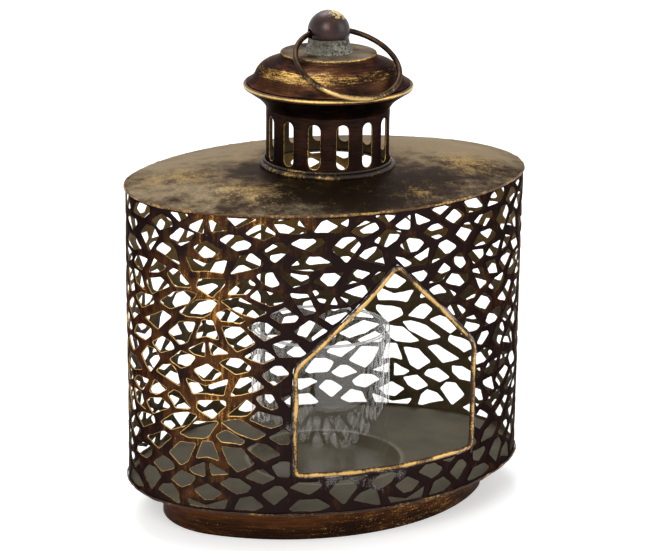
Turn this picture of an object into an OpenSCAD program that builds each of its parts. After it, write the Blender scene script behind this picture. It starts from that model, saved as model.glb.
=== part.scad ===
// Oval lantern of pierced sheet with a slotted chimney, a lid, a carrying ring and a loose glass

/* [Body] */
// Length of the oval wall, outside
body_l = 240; // [228:2:264]
// Width of the oval wall, outside
body_w = 174; // [160:2:190]
// Radius of the oval's two ends
end_r = 64; // [58:1:70]
// Thickness of the sheet that the wall, floor, foot and top are made from
sheet = 1; // [0.8:0.1:1.4]
// Height of the wall
wall_h = 171.7; // [140:0.1:200]
// Thickness of the worn bead of solder along a seam
seam_t = 1; // [0.6:0.1:1.6]
// Height of the bead of solder along a seam
seam_h = 1.8; // [1.6:0.2:4]

/* [Foot and floor] */
// Height of the foot band, up to the underside of the floor
foot_h = 22.3; // [14:0.1:32]
// Distance from the wall in to the foot band
foot_inset = 20.3; // [16:0.1:26]
// Radius of the well in the floor that holds the glass
well_r = 44.8; // [43:0.1:52]
// Depth of the well
well_depth = 7.3; // [4:0.1:11]

/* [Piercing] */
// Length of the motif of holes, which repeats round the wall
motif_w = 116.5; // [108:0.5:126]
// Height of the motif of holes, which repeats up the wall
motif_h = 70.2; // [66:0.1:76]
// How far inside its drawn outline each hole is cut
hole_trim = 0.1; // [0:0.05:0.6]
// How much of a hole's sharp corners is rounded away
corner_cut = 1.6; // [1:0.1:3]
// Plain band left at the wall's upper and lower edges and along its joint at the back
edge_band = 1.6; // [1:0.1:4]

/* [Window] */
// Width of the house-shaped window, between the middles of its wires
window_w = 112; // [90:1:120]
// Height of the sill above the floor
sill_h = 23.2; // [14:0.1:34]
// Height of the window's shoulders above the floor
shoulder_h = 84.7; // [70:0.1:100]
// Height of the window's peak above the floor
peak_h = 139.7; // [110:0.1:150]
// Diameter of the wire that frames the window
frame_d = 2.9; // [2:0.1:4]

/* [Top and collar] */
// Rise of the top from its rim to the flat round the chimney
top_rise = 5.2; // [2:0.1:10]
// Width of the sloping part of the top
top_slope_w = 45; // [30:1:46]
// Radius of the vent hole under the chimney
vent_r = 33; // [26:0.5:34]
// Width of the lower collar ring
collar_w = 3.6; // [2:0.1:5]
// Height of the lower collar ring
collar_h = 2.6; // [1.8:0.1:4]
// Radius of the upper collar ring's wire
collar_wire_r = 0.85; // [0.6:0.05:1.5]

/* [Chimney] */
// Outside radius of the chimney drum
drum_r = 35.2; // [34:0.1:39]
// Height of the drum's straight wall
drum_h = 33.8; // [30:0.1:44]
// Width of a slot
slot_w = 7.5; // [5:0.1:10]
// Height of a slot
slot_h = 25.4; // [18:0.1:26]
// Height of the slots' lower ends above the top
slot_up = 5.2; // [4.2:0.1:7]
// Number of slots
slot_count = 14; // [8:1:16]
// Height of the flare over the straight wall
flare_h = 10.4; // [7:0.1:14]

/* [Lid] */
// Radius at the lips of flare and lid
lip_r = 46.3; // [44:0.1:50]
// Radius of the rolled bead between the lips
bead_r = 1.5; // [1:0.1:2]
// Height of the lid, from its lip to its flat crown
lid_h = 17.1; // [13:0.1:22]

/* [Knob and ring] */
// Height of the neck under the knob
neck_h = 8; // [6.5:0.1:12]
// Radius of the neck's foot
neck_r = 16; // [15:0.1:19]
// Outside radius of the knob
knob_r = 12; // [11.5:0.1:13]
// Wall of the hollow knob
knob_wall = 1.2; // [0.8:0.1:1.6]
// Diameter of the holes through which the ring passes
eye_d = 5.5; // [5:0.1:6.5]
// Radius of the carrying ring, to the middle of its wire
ring_r = 29.8; // [28.5:0.1:36]
// Diameter of the ring's wire
ring_d = 3.2; // [2.6:0.1:3.6]

/* [Glass] */
// Outside diameter of the glass
glass_d = 80.6; // [70:0.2:82]
// Height of the glass
glass_h = 88.9; // [60:0.1:120]
// Wall of the glass
glass_wall = 3.2; // [2:0.1:5]
// Thickness of the glass's base
glass_base = 6; // [3:0.5:10]

/* [Hidden] */
$fn = 96;

// How far a cut runs past what it cuts
over = 1;

// Heights of the main seats, from the table up
floor_z = foot_h + sheet;
wall_top = floor_z + wall_h;
deck_z = wall_top + sheet + top_rise;
flare_z = deck_z + drum_h;
flare_top = flare_z + flare_h;
bead_seat = 0.55;
bead_z = flare_top + bead_r + bead_seat;
lid_z = bead_z + bead_r + bead_seat;
crown_z = lid_z + lid_h;
neck_top = crown_z + neck_h;
bead_out_share = 0.4;
bead_mid_r = lip_r + bead_out_share * bead_r;

// The oval: two flat side arcs and two end arcs that meet in line
half_l = body_l / 2;
half_w = body_w / 2;
end_c = half_l - end_r;
side_r = (half_w * half_w + end_c * end_c - end_r * end_r) / (2 * (half_w - end_r));
side_c = side_r - half_w;
join_a = atan2(side_c, end_c);
end_arc = 2 * join_a * end_r * PI / 180;
side_arc = (180 - 2 * join_a) * side_r * PI / 180;
girth = 2 * (end_arc + side_arc);

// Radius, centre, first and last angle and start along the girth of each arc, from the middle of the front
ARCS = [[side_r, [0, side_c], -180 + join_a, -join_a, -side_arc / 2],
    [end_r, [end_c, 0], -join_a, join_a, side_arc / 2],
    [side_r, [0, -side_c], join_a, 180 - join_a, side_arc / 2 + end_arc],
    [end_r, [-end_c, 0], 180 - join_a, 180 + join_a, 1.5 * side_arc + end_arc]];

function wrapped(s) = s - girth * floor((s + side_arc / 2) / girth);
function arc_of(s) = max([for (k = [0:3]) if (s >= ARCS[k][4]) k]);
function on_arc(k, a, d) = ARCS[k][1] + (ARCS[k][0] - d) * [cos(a), sin(a)];

// Angle of the outward normal at s along the girth, and the point there, d in from the wall's outside
function facing(s) = let (t = wrapped(s), k = arc_of(t)) ARCS[k][2] + (t - ARCS[k][4]) / ARCS[k][0] * 180 / PI;
function on_oval(s, d = 0) = on_arc(arc_of(wrapped(s)), facing(s), d);

// Plane geometry
function unit(v) = v / norm(v);
function left_of(v) = [-v[1], v[0]];
function total(v, k = 0) = k >= len(v) ? 0 : v[k] + total(v, k + 1);
function next(pts, k) = pts[(k + 1) % len(pts)];
function prior(pts, k) = pts[(k + len(pts) - 1) % len(pts)];
function centre(pts) = [total([for (p = pts) p[0]]), total([for (p = pts) p[1]])] / len(pts);
function area(pts) = len(pts) < 3 ? 0 :
    total([for (k = [0:len(pts) - 1]) pts[k][0] * next(pts, k)[1] - next(pts, k)[0] * pts[k][1]]) / 2;
function meet(p, u, q, w) = let (c = u[0] * w[1] - u[1] * w[0])
    abs(c) < 1e-6 ? q : p + u * (((q[0] - p[0]) * w[1] - (q[1] - p[1]) * w[0]) / c);

// Outline moved in by d, and the part of an outline to the left of the line through p along u
function inset(pts, d) = [for (k = [0:len(pts) - 1])
    let (a = prior(pts, k), b = pts[k], u = unit(b - a), w = unit(next(pts, k) - b))
    meet(a + left_of(u) * d, u, b + left_of(w) * d, w)];
function clipped(pts, p, u) = len(pts) < 3 ? [] : [for (k = [0:len(pts) - 1])
    let (a = pts[k], b = next(pts, k), fa = (a - p) * left_of(u), fb = (b - p) * left_of(u))
    each concat(fa >= 0 ? [a] : [], fa * fb < 0 ? [a + (b - a) * fa / (fa - fb)] : [])];

// A sheet of thickness t behind a profile line, on its left
function skin(line, t) = let (n = len(line) - 1)
    concat(line, [for (k = [n:-1:0]) let (u = line[min(k + 1, n)] - line[max(k - 1, 0)])
        line[k] + left_of(unit(u)) * t]);

// The motif, drawn by eye on squared paper: the corners of its holes, clockwise, as [along, up] in squares.
// The struts between them run together into stars, as they do where a net of strips is pulled out of line
motif_squares = [114, 70];
motif_shares = [
    [[-8.5, 35], [-1, 39], [7, 34.5], [2.5, 30.5], [-3, 30]],
    [[-13, 29], [-1.5, 26], [10.5, 31], [8, 22], [-1, 22.5], [-9, 21.5]],
    [[-7, 13], [-5.5, 17], [1, 18], [9, 18.5], [9, 15.5], [2, 8]],
    [[-11.5, 46.5], [-2.5, 51.5], [-2.5, 43.5], [-8.5, 44.5]],
    [[0.5, 51.5], [10.5, 46.5], [2, 45]],
    [[-7, 54], [-3.5, 64], [2, 64], [5.5, 54], [-1, 55.5]],
    [[-24.5, 54], [-17, 61.5], [-8, 62], [-12.5, 51], [-17, 48.5]],
    [[7.5, 61.5], [18, 61.5], [25.5, 53], [16, 48], [11, 53]],
    [[-23.5, 38.5], [-16.5, 44.5], [-8, 42.5], [-11, 38], [-16.5, 35]],
    [[6.5, 40.5], [11.5, 43.5], [17.5, 43.5], [23.5, 39], [21.5, 36.5], [15.5, 35]],
    [[-33.5, 30], [-29, 34], [-23, 35.5], [-19.5, 32], [-17.5, 24.5], [-25, 27.5]],
    [[12.5, 22], [17.5, 32], [24, 33.5], [30.5, 28], [24, 25]],
    [[-25, 18], [-21, 21], [-18, 20.5], [-10.5, 12.5], [-20, 11.5]],
    [[11, 10.5], [21, 20], [26, 16.5], [21, 11]],
    [[-30.5, 0.5], [-21, 7.5], [-12, 9.5], [-7, 8.5], [-11, 3.5], [-23.5, -2]],
    [[7.5, 6], [17, 8.5], [31.5, 0.5], [25.5, -2.5], [16, 0.5]],
    [[-17, 67], [-7, 75], [5, 76], [0, 68], [-3, 66], [-12, 65.5]],
    [[4.5, 68.5], [10, 71.5], [20, 66], [18, 64.5], [7, 65]],
    [[33.5, 69], [41.5, 73.5], [49, 68], [47, 65.5], [39.5, 65]],
    [[23, 9], [27.5, 13.5], [40, 10.5], [41, 7], [34, 4.5]],
    [[26.5, 21.5], [31, 23.5], [34.5, 23.5], [38.5, 16.5], [34.5, 15], [29.5, 17.5]],
    [[20.5, 45], [27, 49.5], [30.5, 49.5], [36.5, 45], [30, 41.5]],
    [[29.5, 35], [36.5, 40], [40, 40], [44, 36], [36, 29]],
    [[21.5, 62], [27, 65], [32, 64.5], [39.5, 59], [30.5, 55]],
    [[35, 52], [40, 54.5], [47, 54.5], [53, 47], [50, 45.5], [38.5, 46]],
    [[46.5, 60], [55, 66], [64.5, 60], [56, 54]],
    [[45, 39.5], [49.5, 42], [61, 42], [62.5, 40], [55.5, 35]],
    [[44.5, 26.5], [50, 32], [60, 32], [67, 27.5], [57.5, 24.5], [47.5, 25]],
    [[40, 22], [44, 23], [53.5, 21.5], [54.5, 18], [46, 15]],
    [[57, 18], [62, 22], [73, 22.5], [67.5, 15.5], [62, 16]],
    [[44.5, 11.5], [53.5, 11], [58, 1], [52, -1]],
    [[56.5, 13], [66, 13], [70, 4.5], [60.5, 6.5]],
    [[-47.5, 36], [-41.5, 42], [-35, 42], [-31.5, 37.5], [-39, 28]],
    [[-57, 46], [-53, 51.5], [-46, 53.5], [-38.5, 53], [-39, 49], [-44, 45.5]],
    [[-37, 45.5], [-29, 50.5], [-23, 48.5], [-21, 45.5], [-30.5, 41.5]],
    [[-43, 58.5], [-36, 61.5], [-28.5, 65.5], [-23, 63.5], [-32.5, 54.5]],
    [[-54, 68.5], [-48, 71.5], [-37, 72.5], [-35.5, 69], [-46.5, 63.5]],
    [[-39.5, 16], [-35, 24], [-26, 21], [-32, 17]],
    [[-42.5, 9.5], [-39, 12], [-30, 14.5], [-24, 11], [-37, 4]]];

// Where the motif's axis lies from the middle of the front, and its base line from the floor
motif_at = 10.2;
motif_up = 46.6;
repeats = ceil(girth / motif_w / 2);
lifts_down = ceil(motif_up / motif_h);
lifts_up = ceil((wall_h - motif_up) / motif_h);
function placed(shape, i, j) = [for (k = [len(shape) - 1:-1:0])
    [motif_at + (i + shape[k][0] / motif_squares[0]) * motif_w,
    floor_z + motif_up + (j + shape[k][1] / motif_squares[1]) * motif_h]];

// The window's outline on the flattened wall, from its lower left corner
window_s = side_r * asin(window_w / 2 / side_r) * PI / 180;
HOUSE = [[-window_s, floor_z + sill_h], [window_s, floor_z + sill_h], [window_s, floor_z + shoulder_h],
    [0, floor_z + peak_h], [-window_s, floor_z + shoulder_h]];
window_margin = frame_d;
function house_side(k) = unit(next(HOUSE, k) - HOUSE[k]);

// A hole stops short of the window at the side that it lies furthest outside
function clear_window(pts) = len(pts) < 3 ? [] :
    let (c = centre(pts), home = [girth * round(c[0] / girth), 0],
        gaps = [for (k = [0:4]) (HOUSE[k] + home - c) * left_of(house_side(k))],
        far = [for (k = [0:4]) if (gaps[k] == max(gaps)) k][0])
    max(gaps) > motif_w / 3 ? pts
    : clipped(pts, HOUSE[far] + home - left_of(house_side(far)) * window_margin, -house_side(far));
// It keeps to the sheet, whose two ends meet in an upright joint at the middle of the back
function in_band(pts) = let (s = girth / 2 - edge_band, low = floor_z + edge_band, high = wall_top - edge_band)
    clipped(clipped(clipped(clipped(pts, [0, low], [1, 0]), [0, high], [-1, 0]), [s, 0], [0, 1]), [-s, 0], [0, -1]);
function eased(pts) = [for (k = [0:len(pts) - 1])
    let (a = prior(pts, k) - pts[k], c = next(pts, k) - pts[k],
        d = min(corner_cut, norm(a) * 0.4, norm(c) * 0.4))
    each (unit(a) * unit(c) > -0.1 ? [pts[k] + unit(a) * d, pts[k] + unit(c) * d] : [pts[k]])];
function merged(pts) = [for (k = [0:len(pts) - 1]) if (norm(pts[k] - next(pts, k)) > sheet / 5) pts[k]];
least_hole_w = 3.2;
HOLES = [for (j = [-lifts_down:lifts_up]) for (i = [-repeats:repeats]) for (shape = motif_shares)
    let (hole = clear_window(in_band(inset(placed(shape, i, j), hole_trim))))
    if (area(hole) > least_hole_w * least_hole_w) eased(merged(hole))];

// Sheet is bent in short flats, longer along the sides than round the ends
side_flats = 20;
end_flats = 14;
function bent(d) = [for (k = [0:3]) let (n = k % 2 == 0 ? side_flats : end_flats)
    for (m = [0:n - 1]) on_arc(k, ARCS[k][2] + (ARCS[k][3] - ARCS[k][2]) * m / n, d)];

// The window wire's route on the flattened wall: straight sides in short steps, with rounded corners
wire_bend = frame_d * 1.2;
side_steps = 7;
WIRE = [for (k = [0:4])
    let (u = house_side(k), v = unit(prior(HOUSE, k) - HOUSE[k]), a = HOUSE[k] + u * wire_bend,
        b = next(HOUSE, k) - u * wire_bend)
    each concat([HOUSE[k] + (u + v) * wire_bend * 0.3], [for (m = [0:side_steps]) a + (b - a) * m / side_steps])];

// Profiles of chimney and lid, as shares of their reach and height
flare_share = [[0, 0], [0.12, 0.24], [0.43, 0.58], [0.84, 0.88], [1, 1]];
lid_share = [[1, 0], [0.974, 0.03], [0.935, 0.123], [0.905, 0.24], [0.883, 0.374], [0.844, 0.515], [0.79, 0.626],
    [0.725, 0.696], [0.66, 0.749], [0.61, 0.825], [0.589, 0.918], [0.593, 1], [0, 1]];
neck_share = [[1, 0], [0.93, 0.12], [0.865, 0.34], [0.8, 0.66], [0.76, 1]];

// The knob's holes and the ring's hinge line: the ring rests with its plane just clear of the bead
eye_z = neck_top + eye_d / 2 + sheet / 6;
knob_z = eye_z + eye_d / 8;
hinge_in = sqrt(ring_r * ring_r - knob_r * knob_r);
rest_gap = 0.3;
bead_drop = eye_z - bead_z;
rest_a = atan2(bead_drop, bead_mid_r)
    - asin((bead_r + ring_d / 2 + rest_gap) / norm([bead_drop, bead_mid_r]));

// Profile of a worn bead of solder, out from the wall and up
seam_profile = [[0, 0], [seam_t, seam_h / 4], [seam_t, seam_h * 3 / 4], [0, seam_h]];

// Where the glass stands in its well
glass_at = [-2.5, 1.2];
glass_z = floor_z - well_depth;

// An upright band of sheet bent to the oval, d in from the wall's outside
module band(d, h) {
    linear_extrude(h) difference() {
        polygon(bent(d));
        polygon(bent(d + sheet));
    }
}

// Points of the profile's corners round the oval: x is the distance out from the wall, y the height
function rings(profile) = [for (q = profile) each [for (p = bent(-q[0])) [p[0], p[1], q[1]]]];

// Faces between the rings of neighbouring corners, from corner 0 to the last one given
function ring_faces(corners, last) = let (n = len(bent(0))) [for (i = [0:last]) for (k = [0:n - 1])
    let (j = (i + 1) % corners, m = (k + 1) % n) [i * n + k, j * n + k, j * n + m, i * n + m]];

// A bead with the given profile, all the way round the oval
module bead(profile) {
    n = len(profile);
    polyhedron(rings(profile), ring_faces(n, n - 1));
}

// A bar that follows a route on the wall, with a profile of [out, aside] points round its middle
module wall_bar(route, profile) {
    n = len(profile);
    m = len(route);
    function aside(k) = left_of(unit(next(route, k) - prior(route, k)));
    function ring(k) = let (p = route[k], a = facing(p[0]), f = on_oval(p[0], sheet / 2))
        [for (q = profile) let (side = aside(k) * q[1])
            [f[0] + q[0] * cos(a) - side[0] * sin(a), f[1] + q[0] * sin(a) + side[0] * cos(a), p[1] + side[1]]];
    points = [for (k = [0:m - 1]) each ring(k)];
    faces = [for (k = [0:m - 1]) for (i = [0:n - 1])
        let (a = k * n + i, b = k * n + (i + 1) % n, c = ((k + 1) % m) * n + (i + 1) % n, d = ((k + 1) % m) * n + i)
        each [[a, b, c], [a, c, d]]];
    polyhedron(points, faces);
}

module foot_band() {
    color("#5a3420") band(foot_inset, foot_h);
}

module floor_plate() {
    color("#4f4e42") {
        difference() {
            translate([0, 0, foot_h]) linear_extrude(sheet) polygon(bent(0));
            translate([0, 0, foot_h - over]) cylinder(r = well_r, h = sheet + 2 * over);
        }
        translate([0, 0, floor_z]) rotate_extrude() polygon(skin([[well_r + sheet, 0], [well_r, 0],
            [well_r - sheet, -well_depth], [0, -well_depth]], sheet));
    }
}

module floor_seam() {
    color("#8a6a30") translate([0, 0, foot_h]) bead(seam_profile);
}

module rim_seam() {
    color("#8a6a30") translate([0, 0, wall_top + sheet - seam_h]) bead(seam_profile);
}

module pierced_wall() {
    color("#4a2e1e") difference() {
        translate([0, 0, floor_z]) band(0, wall_h);
        for (hole = HOLES) piercing(hole);
        window_cut();
    }
}

module piercing(hole) {
    c = centre(hole);
    f = on_oval(c[0]);
    reach = max([for (p = hole) abs(p[0] - c[0])]);
    depth = sheet + reach * reach / (2 * end_r) + over;
    translate([f[0], f[1], 0]) rotate([90, 0, facing(c[0]) + 90]) translate([-c[0], 0, -depth])
        linear_extrude(depth + over) polygon(hole);
}

module window_cut() {
    half = window_w / 2;
    sill = floor_z + sill_h;
    shoulder = floor_z + shoulder_h;
    translate([0, -half_w / 2, 0]) rotate([90, 0, 0]) linear_extrude(half_w)
        polygon(inset([[-half, sill], [half, sill], [half, shoulder], [0, floor_z + peak_h], [-half, shoulder]],
            -frame_d * 0.6));
}

module window_wire() {
    color("#b08a3e") wall_bar(WIRE, [for (a = [0:45:315]) frame_d / 2 * [cos(a), sin(a)]]);
}

module window_solder() {
    near = frame_d * 0.62;
    far = frame_d * 1.25;
    color("#6a6070") wall_bar(WIRE,
        [[sheet * 0.7, -near], [sheet * 0.7, -far], [sheet, -far], [sheet * 1.4, -near]]);
}

module top_plate() {
    profile = [[-top_slope_w, top_rise], [0, 0], [0, sheet], [-top_slope_w, top_rise + sheet]];
    n = len(bent(0));
    crown = [for (k = [n - 1:-1:0]) 3 * n + k];
    soffit = [for (k = [0:n - 1]) k];
    color("#6b5a4c") translate([0, 0, wall_top]) difference() {
        polyhedron(rings(profile), concat(ring_faces(len(profile), 2), [crown, soffit]));
        cylinder(r = vent_r, h = top_rise + sheet + over);
    }
}

module collar_lower() {
    color("#6f7461") translate([0, 0, deck_z]) rotate_extrude() translate([drum_r, 0]) {
        square([collar_w - collar_h / 2, collar_h]);
        translate([collar_w - collar_h / 2, collar_h / 2]) circle(collar_h / 2);
    }
}

module collar_upper() {
    color("#78806c") translate([0, 0, deck_z + collar_h + collar_wire_r]) rotate_extrude()
        translate([drum_r + collar_wire_r, 0]) circle(collar_wire_r);
}

module vent_drum() {
    reach = lip_r - drum_r;
    color("#3f2c22") difference() {
        translate([0, 0, deck_z]) rotate_extrude() polygon(skin(concat([[drum_r, 0]],
            [for (p = flare_share) [drum_r + p[0] * reach, drum_h + p[1] * flare_h]]), sheet));
        for (k = [0:slot_count - 1]) rotate(-100 + k * 360 / slot_count) slot();
    }
}

module slot() {
    depth = 4 * sheet;
    low = slot_up + slot_w / 2;
    high = slot_up + slot_h - slot_w / 2;
    translate([drum_r - depth / 2, 0, deck_z]) rotate([90, 0, 90]) linear_extrude(depth) {
        translate([-slot_w / 2, low]) square([slot_w, high - low]);
        translate([0, low]) circle(d = slot_w);
        translate([0, high]) circle(d = slot_w);
    }
}

module cap_lid() {
    color("#5c4030") translate([0, 0, lid_z]) rotate_extrude()
        polygon(skin([for (p = lid_share) [p[0] * lip_r, p[1] * lid_h]], sheet));
}

module cap_bead() {
    color("#a8853c") translate([0, 0, bead_z]) rotate_extrude() translate([bead_mid_r, 0]) circle(bead_r);
}

module knob_neck() {
    bore = sqrt(knob_r * knob_r - (knob_z - neck_top) * (knob_z - neck_top)) - knob_wall;
    color("#7f8478") translate([0, 0, crown_z]) rotate_extrude()
        polygon(concat([for (p = neck_share) [p[0] * neck_r, p[1] * neck_h]], [[bore, neck_h], [bore, 0]]));
}

module knob() {
    color("#4a2620") difference() {
        translate([0, 0, knob_z]) sphere(knob_r);
        translate([0, 0, knob_z]) sphere(knob_r - knob_wall);
        translate([0, 0, neck_top - 2 * knob_r]) cylinder(r = 2 * knob_r, h = 2 * knob_r);
        translate([-2 * knob_r, 0, eye_z]) rotate([0, 90, 0]) cylinder(d = eye_d, h = 4 * knob_r);
        translate([-2 * knob_r, -eye_d / 2, neck_top - over])
            cube([4 * knob_r, eye_d, eye_z - neck_top + over]);
    }
}

module ring_handle() {
    color("#3a2a22") translate([0, 0, eye_z]) rotate([rest_a, 0, 0]) translate([0, -hinge_in, 0])
        rotate_extrude() translate([ring_r, 0]) circle(d = ring_d);
}

module glass_cup() {
    r = glass_d / 2;
    lip = glass_wall / 2;
    color("#dfe8e8", 0.4) translate([glass_at[0], glass_at[1], glass_z]) rotate_extrude() {
        square([r, glass_base]);
        translate([r - glass_wall, 0]) square([glass_wall, glass_h - lip]);
        translate([r - lip, glass_h - lip]) circle(lip);
    }
}

foot_band();
floor_plate();
floor_seam();
pierced_wall();
window_wire();
window_solder();
top_plate();
rim_seam();
collar_lower();
collar_upper();
vent_drum();
cap_lid();
cap_bead();
knob_neck();
knob();
ring_handle();
glass_cup();
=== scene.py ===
import math

import bpy
from mathutils import Matrix, Vector, noise
from mathutils.geometry import delaunay_2d_cdt
from mathutils.kdtree import KDTree


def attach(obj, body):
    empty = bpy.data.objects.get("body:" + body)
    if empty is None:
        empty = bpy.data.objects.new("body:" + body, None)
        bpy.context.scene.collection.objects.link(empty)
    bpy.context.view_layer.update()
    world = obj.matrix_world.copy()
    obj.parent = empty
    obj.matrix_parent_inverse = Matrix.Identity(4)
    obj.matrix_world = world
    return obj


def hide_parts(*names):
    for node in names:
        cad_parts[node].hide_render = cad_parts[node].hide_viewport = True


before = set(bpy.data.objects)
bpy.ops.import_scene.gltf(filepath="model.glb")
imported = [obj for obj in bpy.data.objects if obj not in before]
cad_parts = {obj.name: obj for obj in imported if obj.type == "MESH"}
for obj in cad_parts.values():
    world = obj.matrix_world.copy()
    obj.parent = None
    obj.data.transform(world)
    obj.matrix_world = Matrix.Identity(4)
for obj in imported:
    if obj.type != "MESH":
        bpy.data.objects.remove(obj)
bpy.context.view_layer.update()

# Foot band: a strip of sheet bent to an oval and soldered under the floor, brown with gold
# rubbed on near the table. The oval is two flat side arcs and two tighter end arcs that meet
# in line, and every oval piece of the lantern is this one moved in or out.
mm = 0.001
half_l = 120
half_w = 87
end_r = 64
end_c = half_l - end_r
side_r = (half_w**2 + end_c**2 - end_r**2) / (2 * (half_w - end_r))
side_c = side_r - half_w
join = math.atan2(side_c, end_c)
end_arc = 2 * join * end_r
side_arc = (math.pi - 2 * join) * side_r
girth = 2 * (end_arc + side_arc)
arcs = [
    (side_r, 0, side_c, join - math.pi, -side_arc / 2),
    (end_r, end_c, 0, -join, side_arc / 2),
    (side_r, 0, -side_c, join, side_arc / 2 + end_arc),
    (end_r, -end_c, 0, math.pi - join, 1.5 * side_arc + end_arc),
]


def round_point(r, a, x=0, y=0):
    """Place at radius r and angle a round x, y."""
    return x + r * math.cos(a), y + r * math.sin(a)


def on_round(r, a, z, middle=(0, 0)):
    return Vector((*round_point(r, a, *middle), z)) * mm


def on_oval(s, z, d=0):
    """Point at s along the wall from the middle of the front, d in from its outside."""
    s = (s + side_arc / 2) % girth - side_arc / 2
    r, cx, cy, start, begin = [arc for arc in arcs if s >= arc[4] - 1e-9][-1]
    return on_round(r - d, start + (s - begin) / r, z, (cx, cy))


def oval_loop(d, z, count=240):
    return [on_oval(girth * k / count, z, d) for k in range(count)]


def round_loop(r, z):
    """Circle whose points face those of an oval loop."""
    return [on_round(r, math.atan2(p.y, p.x), z) for p in oval_loop(0, 0)]


def put_in(name, data):
    thing = bpy.data.objects.new(name, data)
    bpy.context.scene.collection.objects.link(thing)
    return thing


def smooth_piece(name, points, faces, sharp=35, traits=None):
    """Mesh of points and faces, smooth but for its sharp edges, with named values on its points."""
    mesh = bpy.data.meshes.new(name)
    mesh.from_pydata(points, [], faces)
    for trait, values in (traits or {}).items():
        mesh.attributes.new(trait, "FLOAT", "POINT").data.foreach_set("value", values)
    mesh.polygons.foreach_set("use_smooth", [True] * len(mesh.polygons))
    mesh.set_sharp_from_angle(angle=math.radians(sharp))
    return put_in(name, mesh)


def skin(name, loops, closed=True, sharp=35, traits=None):
    """Skin over a row of loops of as many points each, joined up last to first or else capped."""
    count = len(loops[0])
    rows = len(loops)
    faces = []
    for i in range(rows if closed else rows - 1):
        low, high = i * count, (i + 1) % rows * count
        sides = [(k, (k + 1) % count) for k in range(count)]
        faces += [(low + a, low + b, high + b, high + a) for a, b in sides]
    if not closed:
        faces += [list(range(count))[::-1], list(range((rows - 1) * count, rows * count))]
    return smooth_piece(name, [p for loop in loops for p in loop], faces, sharp, traits)


# The vector noise starts from the clock unless it is given a seed.
noise_seed = 7
noise.seed_set(noise_seed)


def wave(x, y=0, z=0):
    """Smooth noise between -1 and 1."""
    return noise.noise(Vector((x, y, z)))


def uneven(loops, depth, size, seed=0):
    """The same loops with each point moved a little, as hand work leaves it."""
    shift = Vector((seed, seed * 0.37, seed * 0.71))
    return [[p + noise.noise_vector(p / (size * mm) + shift) * depth * mm for p in loop] for loop in loops]


class Value:
    """A number that varies over a finish, from a shader socket; sums on it add Math nodes."""

    def __init__(self, finish, socket):
        self.finish = finish
        self.socket = socket

    def math(self, operation, first, second):
        return self.finish.node("Math", {"operation": operation}, {0: first, 1: second})

    def __add__(self, other):
        return self.math("ADD", self, other)

    def __mul__(self, other):
        return self.math("MULTIPLY", self, other)

    def __sub__(self, other):
        return self.math("SUBTRACT", self, other)

    def __rsub__(self, other):
        return self.math("SUBTRACT", other, self)

    def __pow__(self, other):
        return self.math("POWER", self, other)

    __radd__ = __add__
    __rmul__ = __mul__

    def over(self, low, high):
        """0 below low, 1 above high and smooth between."""
        span = {"From Min": low, "From Max": high, "Value": self}
        return self.finish.node("MapRange", {"interpolation_type": "SMOOTHSTEP"}, span)

    def swing(self, span):
        """How far it lies from its middle, times span."""
        return (self - 0.5) * span

    def size(self):
        return self.math("ABSOLUTE", self, 0)


def opaque(tint):
    """A colour as sockets take it; other values stay as they are."""
    return (*tint, 1) if isinstance(tint, tuple) else tint


class Nodes:
    """The nodes of a finish, or of the room's light."""

    def __init__(self, tree):
        self.tree = tree

    def node(self, kind, settings=None, sockets=None, out=0):
        node = self.tree.nodes.new("ShaderNode" + kind)
        for setting, value in (settings or {}).items():
            setattr(node, setting, value)
        for socket, value in (sockets or {}).items():
            self.feed(node.inputs[socket], value)
        return Value(self, node.outputs[out])

    def feed(self, socket, value):
        if isinstance(value, Value):
            self.tree.links.new(value.socket, socket)
        else:
            socket.default_value = value


class Finish(Nodes):
    """A material for one of the lantern's surfaces."""

    def __init__(self, name, shine=0.5, **plain):
        self.material = bpy.data.materials.new(name)
        self.material.use_nodes = True
        super().__init__(self.material.node_tree)
        self.shader = self.tree.nodes["Principled BSDF"]
        self.place = self.node("TexCoord", out="Object")
        self.give(Specular_IOR_Level=shine, **plain)

    def grain(self, size, detail=3, rough=0.55, stretch=(1, 1, 1)):
        """Cloudy noise whose features are about size millimetres across."""
        place = self.node("VectorMath", {"operation": "MULTIPLY"}, {0: self.place, 1: stretch})
        sockets = {"Vector": place, "Scale": 1 / (size * mm), "Detail": detail, "Roughness": rough}
        return self.node("TexNoise", {}, sockets)

    def near(self, point, reach):
        """1 at a point of the lantern, falling to 0 at reach millimetres from it."""
        away = self.node("VectorMath", {"operation": "DISTANCE"}, {0: self.place, 1: point}, "Value")
        return (1 - away * (1 / (reach * mm))).over(0, 1)

    def height(self):
        return self.node("SeparateXYZ", {}, {0: self.place}, "Z")

    def trait(self, name):
        return self.node("Attribute", {"attribute_name": name}, {}, "Fac")

    def blend(self, share, first, second):
        sockets = {0: share, 6: opaque(first), 7: opaque(second)}
        return self.node("Mix", {"data_type": "RGBA"}, sockets, 2)

    def ground(self, share, first, second):
        """The colour under the others, going from the first to the second by share."""
        self.tint = self.blend(share, first, second)
        self.give(Base_Color=self.tint)

    def coat(self, share, tint):
        """Another colour laid over what is there, by share."""
        self.ground(share, self.tint, tint)

    def relief(self, height, depth):
        """Bumps and hollows of depth millimetres."""
        bumps = {"Height": height, "Distance": depth * mm, "Strength": 1.0}
        self.give(Normal=self.node("Bump", {}, bumps))

    def give(self, **values):
        for socket, value in values.items():
            self.feed(self.shader.inputs[socket.replace("_", " ")], opaque(value))


def fit_on(piece, slot, finish, *nodes, body="lantern"):
    """The piece takes the place of its nodes and moves with its body."""
    piece.data.materials.append(finish.material)
    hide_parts(*nodes)
    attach(piece, body)


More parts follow.
